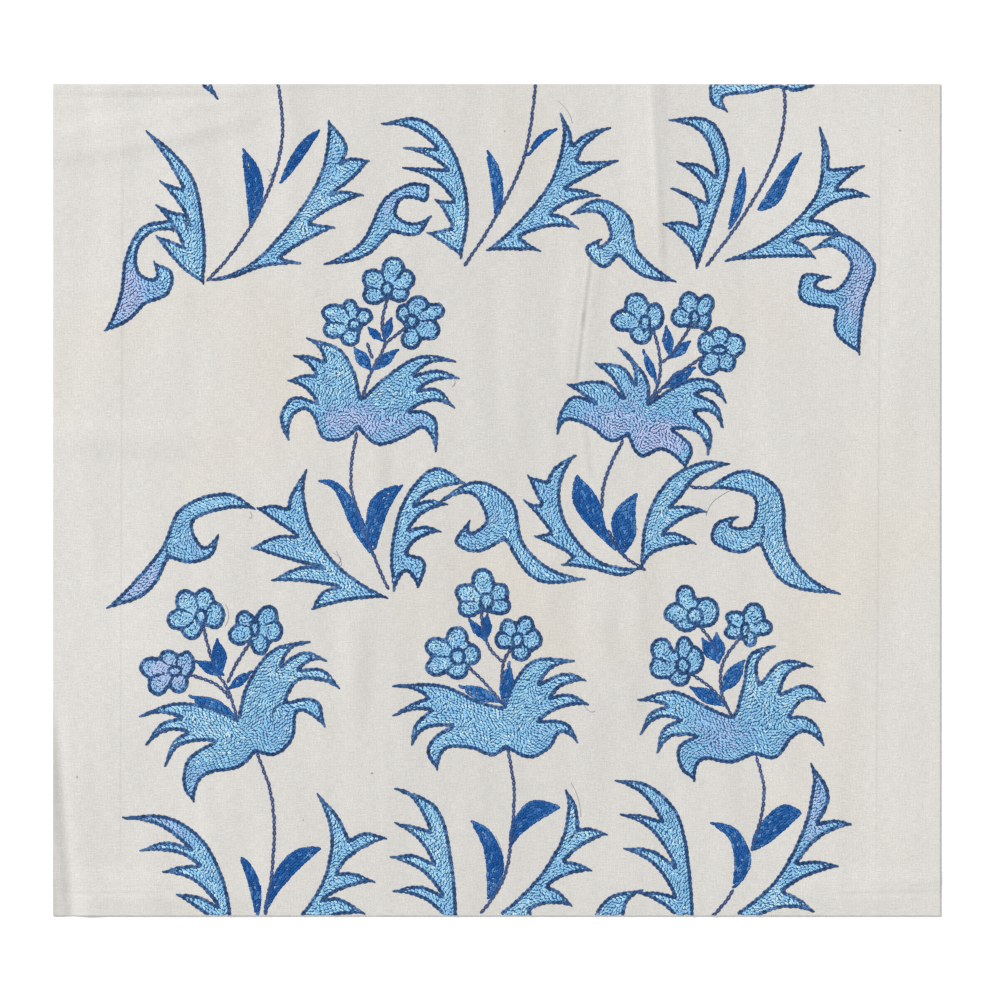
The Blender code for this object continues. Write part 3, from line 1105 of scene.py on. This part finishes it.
def add_maps(mesh, count, uv):
    """The thread's own map, and a second one that gives each stitch a rectangle of its own."""
    across = math.ceil(math.sqrt(count))
    cell = np.arange(count)
    corner = np.column_stack([cell % across, cell // across])[:, None, :]
    low, high = uv.min(axis=0), uv.max(axis=0)
    inside = 0.08 + 0.84 * (uv - low) / np.maximum(high - low, 1e-9)
    baked = (corner + inside[None, :, :]) / across
    mesh.uv_layers.new(name="thread").data.foreach_set(
        "uv", np.tile(uv, (count, 1)).astype(np.float32).ravel())
    mesh.uv_layers.new(name="OFBake").data.foreach_set("uv", baked.astype(np.float32).ravel())

# %% [markdown]
# ## Shades of blue
# The filling thread is shaded: it runs from lavender over sky blue to a pale aqua. The tone of a
# stitch is a number from 0, lavender, to 1, pale aqua. It wanders slowly from place to place,
# jumps a little from stitch to stitch, and drops where the table puts a lavender patch: its
# middle, its half width and half height in squares, and how strong it is. One stitch in seven of
# each thread is lifted by twice the jump, a painted highlight for a stitch that catches the light.

# %% Shades of blue
LAVENDER = (
    (126, 290, 26, 46, 0.55), (146, 286, 20, 22, 0.25), (864, 286, 24, 56, 0.50),
    (852, 250, 30, 20, 0.25), (136, 582, 40, 30, 0.50), (205, 535, 30, 30, 0.18),
    (352, 424, 46, 24, 0.42), (402, 424, 44, 22, 0.25), (612, 424, 50, 26, 0.40),
    (660, 440, 34, 24, 0.62), (625, 395, 34, 26, 0.25), (168, 672, 30, 26, 0.50),
    (200, 786, 26, 26, 0.25), (172, 826, 46, 24, 0.30), (812, 812, 20, 52, 0.38),
    (716, 730, 40, 30, 0.20), (800, 745, 26, 22, 0.22), (470, 520, 40, 30, 0.20),
    (690, 208, 24, 40, 0.16), (316, 160, 20, 36, 0.16), (392, 200, 30, 26, 0.16),
)


def tone_of(stitches, base, wander, jump):
    """How light each stitch is, from 0 to 1."""
    stitches = np.array(stitches)
    x, y = stitches[:, 0], stitches[:, 1]
    slow = np.sin(x / 23 + 1.3 * np.sin(y / 31)) + np.sin(y / 19 + 1.7 * np.sin(x / 37) + 2)
    tone = base + wander * slow / 2 + jump * chance.standard_normal(len(x))
    # Painted highlight: one stitch in seven is lifted by twice the jump, as if it caught the
    # light.
    tone += 2.0 * jump * (chance.random(len(x)) < 0.14)
    return tone


def lavender(stitches):
    stitches = np.array(stitches)
    drop = np.zeros(len(stitches))
    for x, y, half_width, half_height, strength in LAVENDER:
        away = np.hypot((stitches[:, 0] - x) / half_width, (stitches[:, 1] - y) / half_height)
        drop = np.maximum(drop, strength * ease(1.25 - away))
    return drop


THREADS = {
    "outline": (outline_link, 0.26 * MM, 1.50, 0.05, 0.04, "thread_navy"),
    "filling": (filling_link, 0.24 * MM, 1.14, 0.16, 0.45, "thread_sky"),
    "dark_leaf": (leaf_link, 0.24 * MM, 1.14, 0.16, 0.24, "thread_royal"),
    "stem": (stem_link, 0.22 * MM, 1.38, 0.12, 0.0, "thread_navy"),
}
# For each thread: its usual tone, how far that wanders and how much it jumps; twice the jump
# is the painted highlight of one stitch in seven
TONES = {
    "outline": (0.44, 0.12, 0.15), "filling": (0.74, 0.09, 0.09),
    "dark_leaf": (0.46, 0.14, 0.12), "stem": (0.36, 0.10, 0.08),
}
sewn = {"outline": [], "filling": [], "dark_leaf": [], "stem": []}
for spray, kinds in work.items():
    for kind, stitches in kinds.items():
        if not stitches:
            continue
        link, *shape, slot = THREADS[kind]
        tones = tone_of(stitches, *TONES[kind])
        if kind == "filling":
            tones -= lavender(stitches)
        tones = np.clip(tones, 0.03, 1)
        name = f"{spray} {kind}".replace(" ", "_")
        sewn[kind].append(place_links(name, link, stitches, tones, *shape))
for kind, pieces in sewn.items():
    faces = [sum(len(face.vertices) - 2 for face in piece.data.polygons) for piece in pieces]
    print(kind, len(pieces), "pieces,", sum(faces), "triangles, the largest", max(faces + [0]))
for link in LINKS:
    bpy.data.objects.remove(link, do_unlink=True)

# %% [markdown]
# ## Loose hairs
# Here and there a fine end of thread lies on the cloth. Each one is a short path: five places
# pull on a smooth line, and the curve's bevel gives it a round body. The paths are turned into
# meshes and joined.

# %% Loose hairs
HAIRS = (
    ((558, 101), (564, 106), (568, 110), (571, 116), (572, 123)),
    ((452, 376), (455, 379), (456, 382), (455, 385), (452, 387)),
    ((584, 705), (586, 709), (589, 712), (592, 713), (595, 711)),
    ((250, 512), (252, 514), (253, 517), (251, 519), (249, 518)),
    ((333, 553), (338, 556), (344, 557), (341, 562), (336, 566)),
    ((336, 551), (341, 560), (345, 568), (339, 569), (334, 562)),
    ((729, 491), (720, 496), (712, 500), (708, 507), (706, 516)),
    ((571, 783), (575, 789), (578, 795), (580, 805), (581, 817)),
    ((496, 836), (498, 842), (501, 847), (503, 852), (502, 858)),
    ((267, 169), (270, 171), (272, 174), (272, 178), (269, 181)),
    ((268, 176), (271, 175), (274, 173), (276, 170), (277, 166)),
    ((225, 604), (229, 610), (230, 617), (228, 622), (225, 626)),
)
hairs = []
for places in HAIRS:
    bpy.ops.object.select_all(action="DESELECT")
    bpy.ops.curve.primitive_nurbs_path_add()
    hair = bpy.context.active_object
    path = at(places)
    height = top_height(path[:, 0], path[:, 1]) + 0.08 * MM
    for point, (px, py), pz in zip(hair.data.splines[0].points, path, height):
        point.co = (px, py, pz, 1.0)
    hair.data.bevel_depth = 0.09 * MM
    hair.data.bevel_resolution = 1
    hair.data.resolution_u = 4
    bpy.ops.object.convert(target="MESH")
    hairs.append(bpy.context.active_object)
for hair in hairs:
    hair.select_set(True)
bpy.context.view_layer.objects.active = hairs[0]
bpy.ops.object.join()
loose_hairs = new_piece("loose_hairs", textile)
bpy.ops.object.shade_smooth()
print("loose hairs:", len(HAIRS), "with", len(loose_hairs.data.polygons), "faces")

# %% [markdown]
# ## Thread
# All threads share one recipe. The tone picks the colour from a ramp. A thread is two strands
# twisted together, so narrow bands run slanting round it: a wave texture on the thread's own map
# darkens and dents them. Points that lie low in a stitch are mixed with a dark blue, a painted
# shade: on the plates it draws the small flecks between the stitches, partly also the thread
# below, and it darkens the lower sides of each loop. The stems are sewn in a more purplish navy.

# %% Thread
def add_node(tree, kind, place, **settings):
    node = tree.nodes.new(kind)
    node.location = place
    for setting, value in settings.items():
        setattr(node, setting, value)
    return node


def mix_colour(tree, place, share, first, second, blend="MIX"):
    """A Mix node for colours. Each of the three is a socket or a plain value."""
    node = add_node(tree, "ShaderNodeMix", place, data_type="RGBA", blend_type=blend)
    for socket, value in ((node.inputs[0], share), (node.inputs[6], first),
                          (node.inputs[7], second)):
        if isinstance(value, bpy.types.NodeSocket):
            tree.links.new(value, socket)
        else:
            socket.default_value = value
    return node.outputs[2]


def ramp_of(tree, place, source, stops, smooth=False):
    node = add_node(tree, "ShaderNodeValToRGB", place)
    ramp = node.color_ramp
    ramp.interpolation = "EASE" if smooth else "LINEAR"
    while len(ramp.elements) < len(stops):
        ramp.elements.new(0.5)
    for element, (position, colour) in zip(ramp.elements, stops):
        element.position = position
        element.color = (*colour, 1.0)
    tree.links.new(source, node.inputs[0])
    return node.outputs[0]


def thread_material(name, stops, shade_colour, roughness):
    material = bpy.data.materials.new(name)
    material.use_nodes = True
    tree = material.node_tree
    shader = tree.nodes["Principled BSDF"]
    tone = add_node(tree, "ShaderNodeAttribute", (-1000, 200), attribute_name="tone")
    depth = add_node(tree, "ShaderNodeAttribute", (-1000, -50), attribute_name="depth")
    thread = add_node(tree, "ShaderNodeUVMap", (-1200, -300), uv_map="thread")
    strand = add_node(tree, "ShaderNodeMapping", (-1000, -300))
    strand.inputs["Scale"].default_value = (5.0, 1.4, 1.0)
    tree.links.new(thread.outputs[0], strand.inputs[0])
    twist = add_node(tree, "ShaderNodeTexWave", (-800, -300), bands_direction="DIAGONAL")
    twist.inputs["Scale"].default_value = 0.9
    tree.links.new(strand.outputs[0], twist.inputs["Vector"])
    colour = ramp_of(tree, (-800, 200), tone.outputs["Fac"], stops)
    ply = ramp_of(tree, (-600, -300), twist.outputs["Fac"],
                  ((0.0, (0.80, 0.80, 0.82)), (1.0, (1.0, 1.0, 1.0))))
    colour = mix_colour(tree, (-400, 100), 1.0, colour, ply, "MULTIPLY")
    # Painted shade: the lower a point lies, the more dark blue is mixed in; the plates take all of
    # it, the feet of the loops about a third, the tops none.
    shade = ramp_of(tree, (-600, -50), depth.outputs["Fac"],
                    ((0.0, (1.0, 1.0, 1.0)), (0.5, (0.40, 0.40, 0.40)), (1.0, (0.0, 0.0, 0.0))))
    colour = mix_colour(tree, (-200, 100), shade, colour, (*shade_colour, 1.0))
    tree.links.new(colour, shader.inputs["Base Color"])
    bump = add_node(tree, "ShaderNodeBump", (-200, -300))
    bump.inputs["Strength"].default_value = 0.5
    bump.inputs["Distance"].default_value = 0.05 * MM
    tree.links.new(twist.outputs["Fac"], bump.inputs["Height"])
    tree.links.new(bump.outputs[0], shader.inputs["Normal"])
    shader.inputs["Roughness"].default_value = roughness
    shader.inputs["Specular IOR Level"].default_value = 0.08
    return material


# Each thread: its ramp of tones, the dark blue of its painted shade, and its roughness.
navy = thread_material("navy cotton thread", (
    (0.0, (0.018, 0.048, 0.138)), (0.5, (0.036, 0.098, 0.240)), (1.0, (0.115, 0.250, 0.480))),
    (0.014, 0.036, 0.100), 0.7)
stem_navy = thread_material("purplish navy cotton thread", (
    (0.0, (0.026, 0.044, 0.135)), (0.5, (0.050, 0.092, 0.225)), (1.0, (0.130, 0.215, 0.420))),
    (0.018, 0.034, 0.095), 0.7)
royal = thread_material("royal blue cotton thread", (
    (0.0, (0.006, 0.062, 0.235)), (0.5, (0.026, 0.133, 0.400)), (1.0, (0.170, 0.400, 0.700))),
    (0.002, 0.045, 0.185), 0.7)
sky = thread_material("shaded sky blue cotton thread", (
    (0.0, (0.620, 0.660, 0.930)), (0.25, (0.600, 0.700, 0.950)), (0.48, (0.430, 0.640, 0.920)),
    (0.66, (0.310, 0.655, 0.930)), (0.84, (0.450, 0.800, 0.985)), (1.0, (0.720, 0.950, 1.000))),
    (0.026, 0.095, 0.230), 0.6)
for kind, material in {"outline": navy, "stem": stem_navy, "filling": sky,
                       "dark_leaf": royal}.items():
    for piece in sewn[kind]:
        piece.data.materials.append(material)
faded = bpy.data.materials.new("faded loose thread")
faded.use_nodes = True
faded.node_tree.nodes["Principled BSDF"].inputs["Base Color"].default_value = (0.20, 0.22, 0.30, 1)
faded.node_tree.nodes["Principled BSDF"].inputs["Roughness"].default_value = 0.8
loose_hairs.data.materials.append(faded)
print("threads:", [material.name for material in (navy, stem_navy, royal, sky, faded)])

# %% [markdown]
# ## Cotton
# The ground is plain-woven by hand: warp and weft threads 0.75 mm apart, some thicker than
# others, with a few dark specks of seed and faint yellow patches. Soft upright streaks are
# painted light and shade for the small puckers where the stitches pull it, and a painted shade
# makes the middle slightly greyer. Its sharpest folds are finer than a cell of the grid, so they
# are drawn in the material as painted shade and light: each one is a narrow strip, given by its
# start, its end and its half width in millimetres, and by how much light it loses on its line
# and gains beside it. All of it is worked out from the place on the cloth, in metres.

# %% Cotton
SHARP_FOLDS = (
    ((43.0, 112.0), (38.6, 76.0), 1.7, 0.18, 0.02),
    ((40.0, 88.0), (35.6, 50.0), 1.7, 0.18, 0.03),
    ((39.0, 40.0), (43.0, 8.0), 2.6, 0.05, 0.03),
    ((70.0, 200.0), (76.5, 92.0), 2.6, 0.06, 0.03),
    ((-200.0, 182.8), (-100.0, 182.5), 2.4, 0.06, 0.0),
    ((-168.5, 200.0), (-169.8, -190.0), 0.9, 0.075, 0.0),
    ((173.5, 200.0), (171.0, -190.0), 0.9, 0.075, 0.0),
    ((-201.5, -80.0), (-189.5, -240.0), 4.0, 0.13, 0.03),
    ((-203.5, -95.0), (-198.0, -290.0), 8.0, 0.20, 0.0),
    ((-198.0, -177.0), (-150.0, -177.0), 1.5, 0.04, 0.03),
    ((150.0, -177.5), (197.0, -176.5), 1.8, 0.05, 0.02),
    ((-68.0, 187.0), (-112.0, 184.0), 3.0, 0.04, 0.0),
)


def cotton_material():
    material = bpy.data.materials.new("unbleached cotton")
    material.use_nodes = True
    tree = material.node_tree
    shader = tree.nodes["Principled BSDF"]
    place = add_node(tree, "ShaderNodeTexCoord", (-1800, 0)).outputs["Object"]

    def mapped(row, scale):
        node = add_node(tree, "ShaderNodeMapping", (-1600, row))
        node.inputs["Scale"].default_value = scale
        tree.links.new(place, node.inputs[0])
        return node.outputs[0]

    def noise(row, scale, detail=2.0):
        node = add_node(tree, "ShaderNodeTexNoise", (-1400, row))
        node.inputs["Scale"].default_value = 1.0
        node.inputs["Detail"].default_value = detail
        tree.links.new(mapped(row, scale), node.inputs["Vector"])
        return node.outputs["Fac"]

    def weave(row, direction):
        node = add_node(tree, "ShaderNodeTexWave", (-1400, row), bands_direction=direction)
        node.inputs["Scale"].default_value = 1 / (0.75 * MM) / 20 * math.tau / 2
        node.inputs["Distortion"].default_value = 1.2
        node.inputs["Detail"].default_value = 1.0
        node.inputs["Detail Scale"].default_value = 1.5
        tree.links.new(place, node.inputs["Vector"])
        return node.outputs["Fac"]

    def sharp_fold(row, start, end, half_width, loss, gain):
        """A factor for the colour along one strip: 1 everywhere else."""
        start, run = np.array(start) * MM, (np.array(end) - start) * MM
        strip = add_node(tree, "ShaderNodeMapping", (-1600, row), vector_type="TEXTURE")
        strip.inputs["Location"].default_value = (*start, 0.0)
        strip.inputs["Rotation"].default_value = (0.0, 0.0, math.atan2(run[1], run[0]))
        strip.inputs["Scale"].default_value = (math.hypot(*run), 4 * half_width * MM, 1.0)
        tree.links.new(place, strip.inputs[0])
        parts = add_node(tree, "ShaderNodeSeparateXYZ", (-1400, row))
        tree.links.new(strip.outputs[0], parts.inputs[0])
        middle = add_node(tree, "ShaderNodeMath", (-1200, row), operation="ADD")
        middle.inputs[1].default_value = 0.5
        tree.links.new(parts.outputs["Y"], middle.inputs[0])
        dark, light = (1 - loss,) * 3, (1 + gain,) * 3
        across = ramp_of(tree, (-1000, row), middle.outputs[0], (
            (0.0, (1, 1, 1)), (0.25, light), (0.5, dark), (0.75, light), (1.0, (1, 1, 1))), True)
        ends = ramp_of(tree, (-1000, row - 150), parts.outputs["X"], (
            (0.0, (0, 0, 0)), (0.2, (1, 1, 1)), (0.8, (1, 1, 1)), (1.0, (0, 0, 0))), True)
        return mix_colour(tree, (-800, row), ends, (1.0, 1.0, 1.0, 1.0), across)

    level_ribs = noise(600, (220.0, 2400.0, 1.0))
    upright_ribs = noise(300, (2400.0, 220.0, 1.0))
    warp, weft = weave(0, "X"), weave(-300, "Y")
    grain = noise(-600, (1900.0, 1900.0, 1.0), 3.0)
    # The upright streaks are painted light and shade for the small puckers where the stitches
    # pull.
    streaks = noise(1200, (70.0, 11.0, 1.0), 2.0)
    mottle = noise(1500, (150.0, 150.0, 1.0), 2.0)
    patches = noise(-900, (9.0, 9.0, 1.0), 2.0)
    colour = (0.582, 0.567, 0.541, 1.0)
    yellow = ramp_of(tree, (-1000, -900), patches, (
        (0.48, (0.0, 0.0, 0.0)), (0.75, (0.6, 0.6, 0.6))), True)
    colour = mix_colour(tree, (-800, -900), yellow, colour, (0.590, 0.556, 0.486, 1.0))
    for row, fac, swing in ((600, level_ribs, 0.075), (300, upright_ribs, 0.065), (0, warp, 0.006),
                            (-300, weft, 0.006), (-600, grain, 0.160), (1200, streaks, 0.040),
                            (1500, mottle, 0.010)):
        shade = ramp_of(tree, (-1000, row), fac, (
            (0.25, (1 - swing, 1 - swing, 1 - swing)), (0.75, (1 + swing, 1 + swing, 1 + swing))))
        colour = mix_colour(tree, (-600, row), 1.0, colour, shade, "MULTIPLY")
    # Painted shade: the cloth is up to 6% greyer towards its middle, mostly across its width.
    away = add_node(tree, "ShaderNodeVectorMath", (-1400, 900), operation="LENGTH")
    tree.links.new(mapped(900, (1.0, 0.25, 0.0)), away.inputs[0])
    shaded_middle = ramp_of(tree, (-1000, 900), away.outputs["Value"], (
        (0.02, (0.942, 0.942, 0.942)), (0.10, (0.968, 0.968, 0.968)), (0.185, (1.0, 1.0, 1.0))))
    colour = mix_colour(tree, (-500, 900), 1.0, colour, shaded_middle, "MULTIPLY")
    for number, fold in enumerate(SHARP_FOLDS):
        strip = sharp_fold(1800 + 350 * number, *fold)
        colour = mix_colour(tree, (-500, 1800 + 350 * number), 1.0, colour, strip, "MULTIPLY")
    specks = add_node(tree, "ShaderNodeTexVoronoi", (-1400, -1200))
    specks.inputs["Scale"].default_value = 1.0
    tree.links.new(mapped(-1200, (90.0, 90.0, 90.0)), specks.inputs["Vector"])
    chosen = add_node(tree, "ShaderNodeMath", (-1200, -1350), operation="GREATER_THAN")
    chosen.inputs[1].default_value = 0.72
    tree.links.new(specks.outputs["Color"], chosen.inputs[0])
    small = ramp_of(tree, (-1200, -1200), specks.outputs["Distance"], (
        (0.025, (1.0, 1.0, 1.0)), (0.060, (0.0, 0.0, 0.0))))
    speck = mix_colour(tree, (-1000, -1250), 1.0, small, chosen.outputs[0], "MULTIPLY")
    colour = mix_colour(tree, (-400, -600), speck, colour, (0.30, 0.22, 0.15, 1.0))
    tree.links.new(colour, shader.inputs["Base Color"])
    height = add_node(tree, "ShaderNodeMath", (-600, -1500), operation="ADD")
    tree.links.new(level_ribs, height.inputs[0])
    tree.links.new(upright_ribs, height.inputs[1])
    threads = add_node(tree, "ShaderNodeMath", (-400, -1500), operation="ADD")
    tree.links.new(height.outputs[0], threads.inputs[0])
    tree.links.new(grain, threads.inputs[1])
    bump = add_node(tree, "ShaderNodeBump", (-200, -1500))
    bump.inputs["Strength"].default_value = 0.35
    bump.inputs["Distance"].default_value = 0.08 * MM
    tree.links.new(threads.outputs[0], bump.inputs["Height"])
    tree.links.new(bump.outputs[0], shader.inputs["Normal"])
    shader.inputs["Roughness"].default_value = 0.95
    shader.inputs["Specular IOR Level"].default_value = 0.15
    return material


cloth.data.materials.clear()
cloth.data.materials.append(cotton_material())
print("cotton nodes:", len(cloth.data.materials[0].node_tree.nodes))

# %% [markdown]
# ## Floor, light and camera
# The cloth lies on a plain white floor. One large soft light stands at the upper left, so the
# creases and the rows of stitches get a light and a shady side. A weak one opposite and a pale
# sky fill the shade. Both lights stand far off, so that the cloth is lit evenly. The camera
# looks straight down without perspective, like a scan, and takes in 1000 squares of the paper.

# %% Floor, light and camera
studio = bpy.data.collections.new("studio")
bpy.context.scene.collection.children.link(studio)
bpy.ops.object.select_all(action="DESELECT")
bpy.ops.mesh.primitive_plane_add(size=6.0, location=(0, 0, -0.00005))
floor = new_piece("floor", studio)
bpy.ops.object.transform_apply(location=True, rotation=True, scale=True)
white = bpy.data.materials.new("white floor")
white.use_nodes = True
white.node_tree.nodes["Principled BSDF"].inputs["Base Color"].default_value = (0.97, 0.97, 0.97, 1)
white.node_tree.nodes["Principled BSDF"].inputs["Roughness"].default_value = 1.0
floor.data.materials.append(white)


def soft_light(name, place, power, size):
    """A square light that looks at the middle of the cloth."""
    light = bpy.data.lights.new(name, "AREA")
    light.energy = power
    light.size = size
    lamp = bpy.data.objects.new(name, light)
    lamp.location = place
    lamp.rotation_euler = (-lamp.location).to_track_quat("-Z", "Y").to_euler()
    studio.objects.link(lamp)
    return lamp


soft_light("window", (-8.0, 6.8, 8.4), 2180.0, 4.0)
soft_light("fill", (7.0, -5.6, 10.0), 264.0, 6.0)
world = bpy.data.worlds.new("pale sky")
world.use_nodes = True
world.node_tree.nodes["Background"].inputs["Color"].default_value = (1.0, 1.0, 1.0, 1.0)
world.node_tree.nodes["Background"].inputs["Strength"].default_value = 0.42
bpy.context.scene.world = world

camera_data = bpy.data.cameras.new("camera above")
camera_data.type = "ORTHO"
camera_data.ortho_scale = 1000 * SQUARE
camera_data.clip_end = 10.0
camera = bpy.data.objects.new("camera above", camera_data)
view_x, view_y = at([(500, 500)])[0]
camera.location = (view_x, view_y, 1.5)
studio.objects.link(camera)
bpy.context.scene.camera = camera
bpy.context.scene.view_settings.view_transform = "Standard"
print("the camera sees", round(camera_data.ortho_scale, 4), "m")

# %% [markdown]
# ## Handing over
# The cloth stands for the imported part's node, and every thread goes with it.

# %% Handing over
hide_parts("ground_cloth")
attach(cloth, "root")
for kind, pieces in sewn.items():
    for piece in pieces:
        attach(piece, "root")
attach(loose_hairs, "root")
